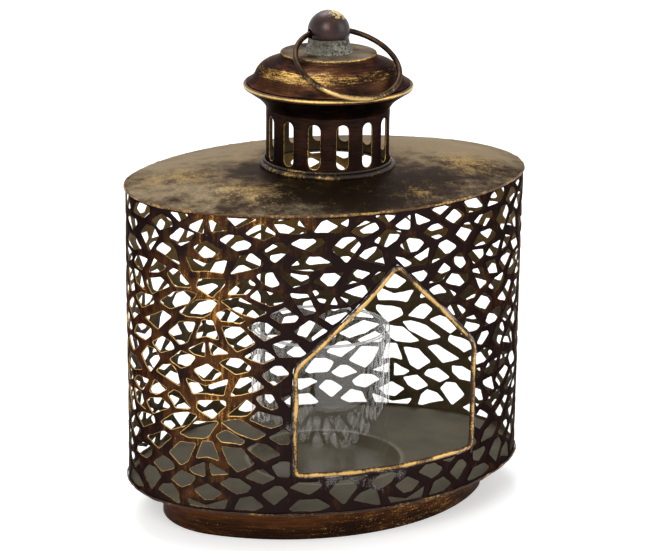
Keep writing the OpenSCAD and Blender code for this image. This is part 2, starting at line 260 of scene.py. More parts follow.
foot_inset = 20.3
foot_h = 22.3
foot_lines = [(0.75, 0.05), (0.25, 0.05), (0.03, 0.4), (0, 1.4), (0, 6), (0, 14), (0, foot_h - 0.1),
    (1, foot_h - 0.1), (1, 10), (1, 1.4), (0.97, 0.4)]
foot_loops = [oval_loop(foot_inset + d, z) for d, z in foot_lines]
foot = skin("foot_band_sheet", foot_loops)
foot_finish = Finish("rubbed_brown_foot", 0.3, Metallic=0.7, Specular_Tint=(0.4, 0.3, 0.2))
foot_cloud = foot_finish.grain(14, stretch=(0.35, 0.35, 1.3))
foot_brushed = foot_finish.grain(1.8, 4, 0.7, stretch=(0.16, 0.16, 1.6))
foot_specks = foot_finish.grain(0.8, 3, 0.75)
foot_right = foot_finish.near(on_oval(50, 14), 130)
foot_up = foot_finish.height().over(2 * mm, 16 * mm)
foot_warm = (foot_cloud + foot_brushed.swing(0.9) + foot_up * 0.3 - 0.15).over(0.25, 0.85)
foot_finish.ground(foot_warm, (0.013, 0.0054, 0.0032), (0.088, 0.03, 0.0092))
foot_flecks = (foot_specks + foot_brushed.swing(0.7) + foot_right * 0.13 - 0.02).over(0.66, 0.78)
foot_finish.coat(foot_flecks * 0.8, (0.5, 0.27, 0.075))
foot_finish.give(Roughness=0.4 + foot_cloud.swing(0.2))
foot_finish.relief(foot_brushed * 0.6 + foot_specks * 0.4, 0.2)
fit_on(foot, "wall_metal", foot_finish, "foot_band")

# Floor: an oval sheet with a round well pressed into its middle for the glass, finished in a
# dull grey-green that the brushed gold never reached.
floor_z = 23.3
sheet_t = 1
well_r = 44.8
well_deep = 7.3
floor_rings = [(0.5, 0), (6, 0), (18, 0), (34, 0)]
well_rings = [(well_r + 3, 0), (well_r + 0.9, 0.05), (well_r + 0.2, -0.15), (well_r - 0.3, -0.9),
    (well_r - 0.9, -well_deep + 1), (well_r - 1.6, -well_deep + 0.2), (well_r - 2.6, -well_deep)]
well_rings += [(r, -well_deep) for r in (36, 26, 14, 0.5)]
floor_top = [oval_loop(d, floor_z + z) for d, z in floor_rings]
floor_top += [round_loop(r, floor_z + z) for r, z in well_rings]


def underside(loops):
    """The same loops one sheet's thickness lower, in reverse."""
    return [[p - Vector((0, 0, sheet_t * mm)) for p in loop] for loop in reversed(loops)]


floor_loops = floor_top + underside(floor_top)
well_brim = (5, 6)
# The two rings at the well's brim carry a painted highlight: a pale line where the brim catches the light.
well_brim_highlight = [float(k in well_brim) for k, loop in enumerate(floor_loops) for p in loop]
floor_piece = skin("floor_sheet", floor_loops, sharp=50, traits={"edge": well_brim_highlight})
floor_finish = Finish("dull_green_floor", 0.3)
stain = floor_finish.grain(26, 4)
dust = floor_finish.grain(1.4, 3, 0.7)
floor_finish.ground(stain.over(0.3, 0.72), (0.084, 0.07, 0.043), (0.138, 0.118, 0.076))
floor_finish.coat(dust.over(0.6, 0.78) * 0.6, (0.032, 0.028, 0.02))
# Painted highlight: a pale line along the well's brim.
floor_finish.coat(floor_finish.trait("edge") * 0.5, (0.34, 0.31, 0.22))
floor_finish.give(Roughness=0.62 + stain.swing(0.2))
floor_finish.relief(stain + dust * 0.3, 0.3)
fit_on(floor_piece, "floor_metal", floor_finish, "floor_plate")

# Floor seam: the ragged bead of solder that holds the wall's lower edge to the floor, left
# as it ran and rubbed to gold on its crests. The seam at the top is made the same way.
seam_h = 1.8
seam_fat = 0.62


def ragged_seam(name, low, seed):
    loops = []
    for k in range(480):
        s = girth * k / 480
        rough, slow = wave(s / 3.1, seed, 0), wave(s / 11, seed, 5)
        swell = min(max(seam_fat * (0.72 + 0.5 * rough + 0.3 * slow), 0.25), 0.98)
        rise = low + seam_h / 2 + 0.35 * wave(s / 7, seed, 9)
        tall = seam_h / 2 * (0.75 + 0.4 * wave(s / 5, seed, 3))
        turns = [math.pi * (0.5 - m / 6) for m in range(7)]
        arch = [on_oval(s, rise + tall * math.sin(a), -swell * math.cos(a)) for a in turns]
        loops.append(arch + [on_oval(s, rise - tall * 0.8, 0.3), on_oval(s, rise + tall * 0.8, 0.3)])
    return skin(name, loops, sharp=60)


def crests(finish, base, worn, bright=(0.66, 0.43, 0.15)):
    """Rough solder, brown in its hollows and bright where a brush has touched it."""
    lumps = finish.grain(1.7, 4, 0.65)
    patches = finish.grain(15, 2)
    touched = (worn + lumps.swing(1.3) + patches.swing(1.3)).over(0.3, 0.8)
    finish.ground(touched, base, bright)
    finish.give(Roughness=0.5 - touched * 0.12, Metallic=0.55 + touched * 0.25)
    finish.relief(lumps, 0.35)
    return finish


floor_bead = ragged_seam("floor_seam_bead", foot_h, 2.4)
floor_bead_finish = crests(Finish("gold_brushed_floor_seam", 0.4), (0.03, 0.013, 0.007), 0.24,
    (0.46, 0.26, 0.08))
fit_on(floor_bead, "brass_wire", floor_bead_finish, "floor_seam")

# Pierced wall: one sheet bent round the oval, cut through by hand with some five hundred
# holes between an uneven net of struts, and with a house-shaped window. Its cut edges are
# rubbed to gold, most of all to the left of the window, and the gold is laid on thicker
# where an edge faces up, as a painted highlight.
wall_h = 171.7
wall_top = floor_z + wall_h
edge_band = 1.6
motif_w = 116.5
motif_h = 70.2
motif_at = 10.2
motif_up = 46.6
motif_squares = (114, 70)
strut_ease = 0.35
least_hole = 3.2
file_cut = 1.7
motif = [
    [(-8.5, 35), (-1, 39), (7, 34.5), (2.5, 30.5), (-3, 30)],
    [(-13, 29), (-1.5, 26), (10.5, 31), (8, 22), (-1, 22.5), (-9, 21.5)],
    [(-7, 13), (-5.5, 17), (1, 18), (9, 18.5), (9, 15.5), (2, 8)],
    [(-11.5, 46.5), (-2.5, 51.5), (-2.5, 43.5), (-8.5, 44.5)],
    [(0.5, 51.5), (10.5, 46.5), (2, 45)],
    [(-7, 54), (-3.5, 64), (2, 64), (5.5, 54), (-1, 55.5)],
    [(-24.5, 54), (-17, 61.5), (-8, 62), (-12.5, 51), (-17, 48.5)],
    [(7.5, 61.5), (18, 61.5), (25.5, 53), (16, 48), (11, 53)],
    [(-23.5, 38.5), (-16.5, 44.5), (-8, 42.5), (-11, 38), (-16.5, 35)],
    [(6.5, 40.5), (11.5, 43.5), (17.5, 43.5), (23.5, 39), (21.5, 36.5), (15.5, 35)],
    [(-33.5, 30), (-29, 34), (-23, 35.5), (-19.5, 32), (-17.5, 24.5), (-25, 27.5)],
    [(12.5, 22), (17.5, 32), (24, 33.5), (30.5, 28), (24, 25)],
    [(-25, 18), (-21, 21), (-18, 20.5), (-10.5, 12.5), (-20, 11.5)],
    [(11, 10.5), (21, 20), (26, 16.5), (21, 11)],
    [(-30.5, 0.5), (-21, 7.5), (-12, 9.5), (-7, 8.5), (-11, 3.5), (-23.5, -2)],
    [(7.5, 6), (17, 8.5), (31.5, 0.5), (25.5, -2.5), (16, 0.5)],
    [(-17, 67), (-7, 75), (5, 76), (0, 68), (-3, 66), (-12, 65.5)],
    [(4.5, 68.5), (10, 71.5), (20, 66), (18, 64.5), (7, 65)],
    [(33.5, 69), (41.5, 73.5), (49, 68), (47, 65.5), (39.5, 65)],
    [(23, 9), (27.5, 13.5), (40, 10.5), (41, 7), (34, 4.5)],
    [(26.5, 21.5), (31, 23.5), (34.5, 23.5), (38.5, 16.5), (34.5, 15), (29.5, 17.5)],
    [(20.5, 45), (27, 49.5), (30.5, 49.5), (36.5, 45), (30, 41.5)],
    [(29.5, 35), (36.5, 40), (40, 40), (44, 36), (36, 29)],
    [(21.5, 62), (27, 65), (32, 64.5), (39.5, 59), (30.5, 55)],
    [(35, 52), (40, 54.5), (47, 54.5), (53, 47), (50, 45.5), (38.5, 46)],
    [(46.5, 60), (55, 66), (64.5, 60), (56, 54)],
    [(45, 39.5), (49.5, 42), (61, 42), (62.5, 40), (55.5, 35)],
    [(44.5, 26.5), (50, 32), (60, 32), (67, 27.5), (57.5, 24.5), (47.5, 25)],
    [(40, 22), (44, 23), (53.5, 21.5), (54.5, 18), (46, 15)],
    [(57, 18), (62, 22), (73, 22.5), (67.5, 15.5), (62, 16)],
    [(44.5, 11.5), (53.5, 11), (58, 1), (52, -1)],
    [(56.5, 13), (66, 13), (70, 4.5), (60.5, 6.5)],
    [(-47.5, 36), (-41.5, 42), (-35, 42), (-31.5, 37.5), (-39, 28)],
    [(-57, 46), (-53, 51.5), (-46, 53.5), (-38.5, 53), (-39, 49), (-44, 45.5)],
    [(-37, 45.5), (-29, 50.5), (-23, 48.5), (-21, 45.5), (-30.5, 41.5)],
    [(-43, 58.5), (-36, 61.5), (-28.5, 65.5), (-23, 63.5), (-32.5, 54.5)],
    [(-54, 68.5), (-48, 71.5), (-37, 72.5), (-35.5, 69), (-46.5, 63.5)],
    [(-39.5, 16), (-35, 24), (-26, 21), (-32, 17)],
    [(-42.5, 9.5), (-39, 12), (-30, 14.5), (-24, 11), (-37, 4)],
]


def placed(shape, i, j):
    """One hole of the motif on the flat sheet, with its corners turned to run anticlockwise."""
    across, upward = motif_w / motif_squares[0], motif_h / motif_squares[1]
    corner = Vector((motif_at + i * motif_w, floor_z + motif_up + j * motif_h))
    return [corner + Vector((x * across, y * upward)) for x, y in reversed(shape)]


def left_of(v):
    return Vector((-v.y, v.x))


def around(points):
    """Each point with the one before it and the one after."""
    return [(points[k - 1], points[k], points[(k + 1) % len(points)]) for k in range(len(points))]


def inset(points, d):
    moved = []
    for a, b, c in around(points):
        u, w = (b - a).normalized(), (c - b).normalized()
        p, q, cross = a + left_of(u) * d, b + left_of(w) * d, u.cross(w)
        moved.append(q if abs(cross) < 1e-6 else p + u * ((q - p).cross(w) / cross))
    return moved


def clipped(points, p, u):
    """The part of an outline to the left of the line through p along u."""
    kept = []
    for _, a, b in around(points):
        fa, fb = (a - p).dot(left_of(u)), (b - p).dot(left_of(u))
        kept += [a] if fa >= 0 else []
        kept += [a + (b - a) * (fa / (fa - fb))] if fa * fb < 0 else []
    return kept


def merged(points):
    return [b for a, b, c in around(points) if (b - c).length > 0.2]


def area(points):
    return sum(b.cross(c) for a, b, c in around(points)) / 2


window_half = 56
sill_z = floor_z + 23.2
shoulder_z = floor_z + 84.7
peak_z = floor_z + 139.7
frame_d = 2.9
window_s = side_r * math.asin(window_half / side_r)
house = [Vector(corner) for corner in ((-window_s, sill_z), (window_s, sill_z),
    (window_s, shoulder_z), (0, peak_z), (-window_s, shoulder_z))]


def clear_window(points):
    """A hole stops short of the window at the side that it lies furthest outside."""
    if len(points) < 3:
        return []
    c = sum(points, Vector((0, 0))) / len(points)
    home = Vector((girth * round(c.x / girth), 0))
    sides = [(after - corner).normalized() for before, corner, after in around(house)]
    gap, far = max(((house[k] + home - c).dot(left_of(sides[k])), k) for k in range(5))
    if gap > motif_w / 3:
        return points
    return clipped(points, house[far] + home - left_of(sides[far]) * frame_d, -sides[far])


def wavering(points, size, seed, depth):
    return [p + noise.noise_vector(Vector((p.x / size, p.y / size, seed))).xy * depth for p in points]


def eased(p, b, q, steps):
    """Curve from p to q that rounds the corner b."""
    shares = [k / steps for k in range(steps + 1)]
    return [p * (1 - t) ** 2 + b * 2 * t * (1 - t) + q * t**2 for t in shares]


def filed(points, cut, seed):
    """The outline as a file leaves it: corners rounded, sides in short steps that waver a little."""
    line = []
    for a, b, c in around(points):
        before, after = (a - b), (c - b)
        r = min(cut, before.length * 0.42, after.length * 0.42)
        sharpness = 1 if before.normalized().dot(after.normalized()) > -0.2 else 0.6
        p, q = b + before.normalized() * r * sharpness, b + after.normalized() * r * sharpness
        line += eased(p, b, q, 4)
        side = (c - after.normalized() * min(cut, after.length * 0.42)) - q
        steps = int(side.length / 2.6)
        line += [q + side * (m + 1) / (steps + 1) for m in range(steps)]
    return wavering(line, 5, seed, 0.35)


def in_band(points):
    """A hole keeps to the sheet, whose ends meet in an upright joint at the middle of the back."""
    end, low, high = girth / 2 - edge_band, floor_z + edge_band, wall_top - edge_band
    for p, u in (((0, low), (1, 0)), ((0, high), (-1, 0)), ((end, 0), (0, 1)), ((-end, 0), (0, -1))):
        points = clipped(points, Vector(p), Vector(u))
    return points


holes = []
for j in (-1, 0, 1):
    for i in range(-3, 4):
        for number, shape in enumerate(motif):
            hole = clear_window(in_band(inset(placed(shape, i, j), -strut_ease)))
            if len(hole) > 2 and area(hole) > least_hole**2:
                holes.append(filed(merged(hole), file_cut, number + i + j * 0.7))
window_cut = 3.5
window_hole = filed(inset(house, -frame_d * 0.6), window_cut, 1)


def pierced_sheet(name, outlines, low, high, length, bend, thick, margin=0.7, grid=6.0, touches=()):
    """A flat sheet of the given length cut through by outlines, then bent into a closed band.

    Its cut edges are eased. The value rim is 1 along them and 0 a margin away, ledge is 1
    where such an edge faces up, inside is 1 on the band's inner face, and touch sums the
    brush touches, each given as place along and up the sheet, reach and strength.
    """
    points, loops, facing_up, rings = [], [], [], []
    for shift in (-length, 0, length):
        for outline in outlines:
            moved = [p + Vector((shift, 0)) for p in outline]
            if abs(moved[0].x) < length / 2 + 40:
                loops.append(list(range(len(points), len(points) + len(moved))))
                points += moved
                outward = [-left_of(c - a).normalized() for a, b, c in around(moved)]
                facing_up += [max(0.0, -out.y) for out in outward]
                rings += [p + out * margin for p, out in zip(moved, outward)]
    edge_count = len(points)
    upward = math.ceil((high - low) / grid)
    joints = []
    for end in (-length / 2, length / 2):
        joints += [(len(points) + m, len(points) + m + 1) for m in range(upward)]
        points += [Vector((end, low + (high - low) * m / upward)) for m in range(upward + 1)]
    points += [p for p in rings if low + 0.4 < p.y < high - 0.4]
    taken = KDTree(len(points))
    for k, p in enumerate(points):
        taken.insert((p.x, p.y, 0), k)
    taken.balance()
    across = math.ceil((length + 80) / grid)
    for k in range(across + 1):
        for m in range(upward + 1):
            p = Vector(((k / across - 0.5) * (length + 80), low + (high - low) * m / upward))
            if m in (0, upward) or taken.find((p.x, p.y, 0))[2] > grid * 0.45:
                points.append(p)
    flat, _, triangles, origin, _, held = delaunay_2d_cdt(points, joints, loops, 0, 1e-4)
    edge = [min([k for k in ids if k < edge_count], default=-1) for ids in origin]
    places = {}

    def corner(k, face):
        """Number of the band's point at flat point k, on its outer face, 0, or its inner face, 1."""
        s = round((flat[k].x + length / 2) % length, 3) % round(length, 3)
        key = (s, round(flat[k].y, 3), face)
        if key not in places:
            depth = 0.28 if edge[k] >= 0 else 0
            place = bend(flat[k].x, flat[k].y, thick - depth if face else depth)
            places[key] = (len(places), place, edge[k], face, flat[k])
        return places[key][0]

    faces, borders = [], {}
    for triangle, within in zip(triangles, held):
        middle = sum(flat[k].x for k in triangle) / 3
        if not within and -length / 2 <= middle < length / 2:
            outer, inner = [[corner(k, face) for k in triangle] for face in (0, 1)]
            faces += [outer, inner[::-1]]
            borders.update({(outer[m - 1], outer[m]): (inner[m - 1], inner[m]) for m in range(3)})
    faces += [[b, a, c, d] for (a, b), (c, d) in borders.items() if (b, a) not in borders]

    def touch_at(p):
        return sum(strength * max(0, 1 - math.hypot(p.x - s, p.y - z) / reach)
            for s, z, reach, strength in touches)

    _, made, edges, sides, flats = zip(*places.values())
    traits = {
        "rim": [float(at >= 0) for at in edges],
        "ledge": [facing_up[at] if at >= 0 else 0.0 for at in edges],
        "inside": [float(side) for side in sides],
        "touch": [touch_at(p) for p in flats],
    }
    return smooth_piece(name, list(made), faces, 50, traits)


def bent_wall(s, z, d):
    dent = wave(s / 34, z / 34, 1) * 0.6 + wave(s / 9, z / 9, 4) * 0.18
    return on_oval(s, z, d + 0.55 + dent * 0.8)


touches = [(-104, 152, 34, 0.95), (-99, 120, 30, 0.55), (-104, 86, 34, 0.75), (-84, 104, 26, 0.35),
    (-118, 62, 40, 0.35), (-76, 74, 26, 0.25), (-148, 142, 36, 0.5), (-150, 96, 40, 0.35),
    (-62, 150, 34, 0.28), (-66, 190, 34, 0.4), (-128, 186, 40, 0.3), (-120, 30, 50, 0.4),
    (-20, 176, 40, 0.12), (62, 132, 34, 0.3), (92, 150, 44, 0.3), (110, 100, 50, 0.3),
    (150, 140, 60, 0.3), (-190, 110, 70, 0.4), (-240, 120, 60, 0.3), (-104, 193, 17, 0.8),
    (-80, 191, 15, 0.8), (-50, 193, 13, 0.5), (-300, 90, 60, 0.3), (205, 60, 60, 0.35),
    (250, 150, 60, 0.3), (300, 110, 50, 0.3)]
wall = pierced_sheet("pierced_wall_sheet", holes + [window_hole], floor_z, wall_top, girth, bent_wall, 1.1,
    touches=touches)


def wall_spots(finish, places):
    """Sum of soft spots on the wall, each given as place along it, height and reach."""
    return sum(finish.near(on_oval(s, z), reach) for s, z, reach in places)


wall_finish = Finish("brushed_pierced_brown", 0.25, Specular_Tint=(0.35, 0.25, 0.2))
rim, ledge, inside, touch = map(wall_finish.trait, ("rim", "ledge", "inside", "touch"))
wall_cloud = wall_finish.grain(11, 4, 0.65)
wall_streaks = wall_finish.grain(2.6, 4, 0.65, stretch=(1, 1, 0.14))
wall_fine = wall_finish.grain(0.8, 3, 0.6)
left_end = wall_finish.near(on_oval(-125, 100), 95)
warm_share = (touch * 0.6 + left_end * 0.15 + 0.08 + wall_cloud.swing(1.9)
    + wall_streaks.swing(0.9)).over(0.14, 0.95)
wall_finish.ground(warm_share, (0.0145, 0.0085, 0.008), (0.084, 0.034, 0.0125))
amber_share = (touch * 0.8 + rim * 0.1 + wall_streaks.swing(1.7) + wall_fine.swing(1.1)).over(0.58, 1.1)
wall_finish.coat(amber_share, (0.44, 0.2, 0.042))
smears = wall_spots(wall_finish, [(-38, 43, 12), (-24, 42, 13), (-10, 38, 11), (4, 42, 9), (-60, 74, 9)])
smeared = (smears + wall_streaks.swing(1.6) + wall_fine.swing(2.2)).over(0.62, 1.15)
wall_finish.coat(smeared * 0.7, (0.17, 0.157, 0.15))
# Gold on the cut edges: wear, with a painted highlight added on the edges that face up (ledge).
edge_wear_and_highlight = rim**1.4 * (ledge * 0.3 + 0.14 + left_end * 0.8 + touch * 0.45)
gold_share = (edge_wear_and_highlight + touch * amber_share * 0.45 + wall_fine.swing(0.7)
    + wall_streaks.swing(0.3)).over(0.45, 0.8)
wall_finish.coat(gold_share, (0.74, 0.46, 0.15))
# Painted shade: the inner face goes from a dark tint low down to a lighter one near the top.
inner_shade_by_height = wall_finish.height().over(90 * mm, 175 * mm)
inner_tint = wall_finish.blend(inner_shade_by_height, (0.085, 0.062, 0.03), (0.26, 0.155, 0.04))
inner_dirt = (wall_cloud + wall_fine.swing(0.3)).over(0.35, 0.7) * 0.5
inner_tint = wall_finish.blend(inner_dirt, inner_tint, (0.03, 0.022, 0.014))
wall_finish.coat(inside, inner_tint)
wall_finish.give(Roughness=0.46 + wall_cloud.swing(0.25) - gold_share * 0.1,
    Metallic=0.93 - inside * 0.8)
wall_finish.relief(wall_cloud * 0.5 + wall_fine * 0.3 + wall_streaks * 0.4, 0.3)
fit_on(wall, "wall_metal", wall_finish, "pierced_wall")

# Window wire: brass wire bent to the shape of a house and let into the window's edge, with
# the end of its right upright left standing a little below the sill.
wire_bend = frame_d * 1.2


def tube(name, stations, section, swell=lambda k: 1, closed=True, sharp=50, traits=None):
    """Bar along stations of (point, outward way), its section given as (out, aside) in millimetres."""
    loops = []
    count = len(stations)
    for k, (point, out) in enumerate(stations):
        ahead = stations[(k + 1) % count if closed else min(k + 1, count - 1)][0]
        behind = stations[k - 1 if closed else max(k - 1, 0)][0]
        aside = (ahead - behind).cross(out).normalized()
        loops.append([point + (out * x + aside * y) * swell(k) * mm for x, y in section])
    return skin(name, loops, closed, sharp, traits)


def on_wall(p, d=0.5):
    base, proud = on_oval(p.x, p.y, d), on_oval(p.x, p.y, d - 1)
    return base, (proud - base).normalized()


def full_turn(count):
    return [2 * math.pi * k / count for k in range(count)]


def round_section(r, count=14, middle=(0, 0)):
    return [round_point(r, a, *middle) for a in full_turn(count)]


wire_route = []
for a, b, c in around(house):
    before, after = (a - b).normalized(), (c - b).normalized()
    p, q = b + before * wire_bend, b + after * wire_bend
    wire_route += eased(p, b, q, 5)
    run = c - after * wire_bend - q
    wire_route += [q + run * m / 24 for m in range(1, 24)]
wire_line = wavering(wire_route, 16, 8, 0.5)
wire_section = round_section(frame_d / 2 - 0.05)
# Crest is 1 on the wire's outward side and 0 at its sides; it paints a highlight along the wire.
wire_crest_highlight = {"crest": [max(0, 2 * x / frame_d) for x, y in wire_section] * len(wire_line)}
wire = tube("window_wire_frame", [on_wall(p) for p in wire_line], wire_section,
    lambda k: 0.95 + 0.07 * wave(k / 2.3), traits=wire_crest_highlight)
wire_finish = Finish("rubbed_brass_wire")
pitting = wire_finish.grain(1.5, 4, 0.65)
along = wire_finish.grain(15)
# Bright gold along the crest and dark brown at the sides: partly rubbed wear, partly a painted highlight.
bright = (wire_finish.trait("crest") ** 1.5 * 0.55 + pitting.swing(1.3) + along.swing(1.9)).over(0.12, 0.62)
wire_finish.ground(bright, (0.06, 0.03, 0.012), (0.62, 0.375, 0.115))
wire_finish.give(Roughness=0.45 - bright * 0.1, Metallic=0.75)
wire_finish.relief(pitting, 0.3)
fit_on(wire, "brass_wire", wire_finish, "window_wire")
stub_line = [Vector((window_s, sill_z + z)) for z in (2, 0, -1.5, -3, -4.2)]
stub = tube("window_wire_end", [on_wall(p) for p in stub_line], round_section(1.2),
    lambda k: 1 - k * 0.12, False)
fit_on(stub, "brass_wire", wire_finish, "window_wire")

# Window solder: grey, lumpy solder run along the outside of the wire to hold it to the wall,
# brushed with brown here and bare there.
solder_line = [p.lerp(route, 0.3) for p, route in zip(wire_line, wire_route)]


def solder_swell(k):
    return 0.72 + 0.35 * wave(k / 3.1, 6, 0) + 0.45 * wave(k / 9, 2, 0)


solder_section = [(-0.6, 1.1), (0.35, 1.2), (0.55, 1.7), (0.4, 2.2), (0.05, 2.7), (-0.6, 3.1)]
solder_crest = {"crest": [0.0, 0.4, 1.0, 0.3, 0.0, 0.0] * len(solder_line)}
solder = tube("window_solder_run", [on_wall(p, -0.05) for p in solder_line], solder_section, solder_swell,
    traits=solder_crest)
solder_finish = Finish("grey_window_solder")
lumps = solder_finish.grain(2.0, 4, 0.65)
unbrushed = wall_spots(solder_finish, [(-57, 84, 40), (-28, 142, 32), (0, 165, 18), (34, 132, 24),
    (54, 110, 14), (-40, 44, 20), (34, 44, 26)])
bare = (unbrushed * 0.34 + lumps.swing(1.9) + solder_finish.grain(11, 2).swing(1.7)
    + solder_finish.trait("crest") * 0.36 - 0.2).over(0.12, 0.5)
solder_finish.ground(bare, (0.018, 0.0105, 0.0095), (0.23, 0.205, 0.2))
solder_finish.give(Roughness=0.45, Metallic=0.7)
solder_finish.relief(lumps, 0.5)
fit_on(solder, "solder", solder_finish, "window_solder")

# Top: an oval sheet, a little domed, with a vent hole under the chimney. Its edge is worn to
# a gold line, and gold is dabbed over its dark brown lacquer. The lacquer is painted grey at
# the left, back and right as a painted reflection of the white room, and darker in front of
# the chimney as a painted shadow.
top_rise = 5.2
top_slope = 45
vent_r = 33
deck_z = wall_top + sheet_t + top_rise


def dome(d):
    t = min(d / top_slope, 1)
    return wall_top + top_rise * math.sin(t * math.pi / 2) ** 1.25


top_lines = [(0.25, sheet_t * 0.35), (0.05, sheet_t * 0.65), (0.2, sheet_t * 0.9), (0.9, sheet_t)]
top_loops = [oval_loop(d, dome(0) + z) for d, z in top_lines]
top_loops += [oval_loop(d, dome(d) + sheet_t) for d in range(3, top_slope + 1, 3)]
wide, vent = oval_loop(top_slope, 0), round_loop(vent_r, 0)
flat_z = Vector((0, 0, (dome(top_slope) + sheet_t) * mm))
for share in (0.2, 0.4, 0.6, 0.8, 0.95, 1):
    top_loops.append([a.lerp(b, share) + flat_z for a, b in zip(wide, vent)])
top_loops = top_loops[:4] + uneven(top_loops[4:], 0.55, 26, 3)
top_loops += underside(top_loops[3:]) + [oval_loop(0.25, wall_top)]
top = skin("top_sheet", top_loops, sharp=60)
top_finish = Finish("dabbed_brown_top", 0.2, Specular_Tint=(0.4, 0.32, 0.22))
broad = top_finish.grain(38, 5, 0.62)
dabs = top_finish.grain(9, 5, 0.68)
dust = top_finish.grain(1.3, 4, 0.75)


def spots(finish, z, places):
    """Sum of soft round spots at height z, each given as x, y, reach and strength."""
    return sum(finish.near((x * mm, y * mm, z * mm), reach) * strength for x, y, reach, strength in places)


# Painted reflection: the lacquer lighter and greyer at the left, back and right of the top.
pale = spots(top_finish, deck_z, [(-66, 44, 58, 0.6), (-104, -8, 44, 0.35), (76, 34, 64, 0.7),
    (0, 80, 70, 0.45), (100, -10, 44, 0.5)])
# Painted shadow: darker in front of the chimney and at its left.
dark = spots(top_finish, deck_z, [(-12, -50, 46, 0.75), (-40, 6, 24, 0.5), (34, -52, 34, 0.4),
    (-22, -30, 30, 0.35)])
shade = (0.32 + pale - dark + broad.swing(1.2) + dabs.swing(1.1) + dust.swing(0.6)).over(0.1, 0.9)
top_finish.ground(shade, (0.021, 0.013, 0.0072), (0.27, 0.212, 0.142))
dabbed = spots(top_finish, deck_z, [(-84, 10, 34, 0.5), (-60, -32, 40, 0.42), (-12, -46, 26, 0.16),
    (78, -28, 36, 0.55), (22, -70, 26, 0.3), (-10, 78, 26, 0.3), (96, 16, 30, 0.25), (-106, 20, 20, 0.3)])
dab_share = (dabbed + dabs.swing(1.4) + dust.swing(2.6) + broad.swing(0.5)).over(0.24, 0.9)
top_finish.coat(dab_share * 0.85, (0.46, 0.3, 0.1))
top_pits = (dust + dabs.swing(0.4)).over(0.62, 0.8)
top_finish.coat(top_pits * 0.55, (0.014, 0.009, 0.006))
top_finish.give(Roughness=0.44 + dust.swing(0.3), Metallic=0.7)
top_finish.relief(broad * 0.8 + dabs * 0.3 + dust * 0.12, 0.5)
fit_on(top, "top_metal", top_finish, "top_plate")

# Rim seam: the bead of solder where top and wall meet edge to edge, filed low and worn to a
# thin line of gold.
rim_bead = ragged_seam("rim_seam_bead", wall_top + sheet_t - seam_h, 6.1)
rim_bead_finish = crests(Finish("gold_brushed_rim_seam", 0.4), (0.085, 0.041, 0.014), 0.42,
    (0.52, 0.31, 0.095))
fit_on(rim_bead, "brass_wire", rim_bead_finish, "rim_seam")

# Collar: two rings round the chimney's foot, sunk in solder that has gone grey-green, with
# gold left on the wider one where a hand passes.
drum_r = 35.2
collar_r = drum_r + 3.6
collar_h = 2.6


def turned(name, profile, z, sharp=35, count=144, dent=0, size=8, seed=0, middle=(0, 0), traits=None):
    """A round piece turned from a profile of (radius, height) points above z, upward on its outside.

    A trait is a list of values, one for each point of the profile.
    """
    loops = [[on_round(r, a, z + h, middle) for a in full_turn(count)] for r, h in profile]
    spread = {trait: [value for value in values for k in range(count)]
        for trait, values in (traits or {}).items()}
    return skin(name, uneven(loops, dent, size, seed) if dent else loops, sharp=sharp, traits=spread)


lower_profile = [(drum_r + 0.05, 0.02), (collar_r - 0.6, 0.02), (collar_r - 0.1, 0.5), (collar_r, 1.2),
    (collar_r - 0.35, 2), (collar_r - 1.1, collar_h), (collar_r - 2, collar_h), (drum_r + 0.05, collar_h)]
collar_low = turned("collar_lower_ring", lower_profile, deck_z, 60, dent=0.22, size=9)
upper_profile = round_section(0.82, 12, (drum_r + 0.9, collar_h + 0.85))
collar_high = turned("collar_upper_ring", upper_profile, deck_z, 60, dent=0.15)
for ring, name, node, base, worn in [
    (collar_low, "gold_touched_collar", "collar_lower", (0.026, 0.0145, 0.009), 0.32),
    (collar_high, "green_crusted_collar", "collar_upper", (0.03, 0.022, 0.016), 0.26)]:
    fit_on(ring, "solder", crests(Finish(name, 0.45), base, worn), node)

# Chimney: a drum of dark sheet with upright slots that let the heat out, marked out by hand
# and so not quite even, and spun out at its top into a flare under the lid. The slots' edges
# shine where the lacquer has gone, and a painted highlight makes them brighter where they face up.
drum_h = 33.8
flare_h = 10.4
lip_r = 46.3
slot_w = 6.9
slot_h = 25.4
slot_up = 5.2
slot_count = 14
slot_turn = 12.8
back_slip = 3
drum_girth = 2 * math.pi * drum_r


def obround(s, low, wide, high):
    r = wide / 2
    turns = [math.pi * k / 10 for k in range(11)]
    top_arc = [Vector(round_point(r, a, s, low + high - r)) for a in turns]
    foot_arc = [Vector(round_point(-r, a, s, low + r)) for a in turns]
    left = [top_arc[-1].lerp(foot_arc[0], m / 5) for m in range(1, 5)]
    right = [foot_arc[-1].lerp(top_arc[0], m / 5) for m in range(1, 5)]
    return top_arc + left + foot_arc + right


def bent_drum(s, z, d):
    return on_round(drum_r - d, s / drum_r - math.pi / 2, z)


def slot_place(k):
    """Place of slot k along the drum; those at the back slip to one side."""
    s = ((k - slot_count / 2) / slot_count - slot_turn / 360) * drum_girth
    return s - back_slip * math.sin(math.pi * s / drum_girth) ** 2


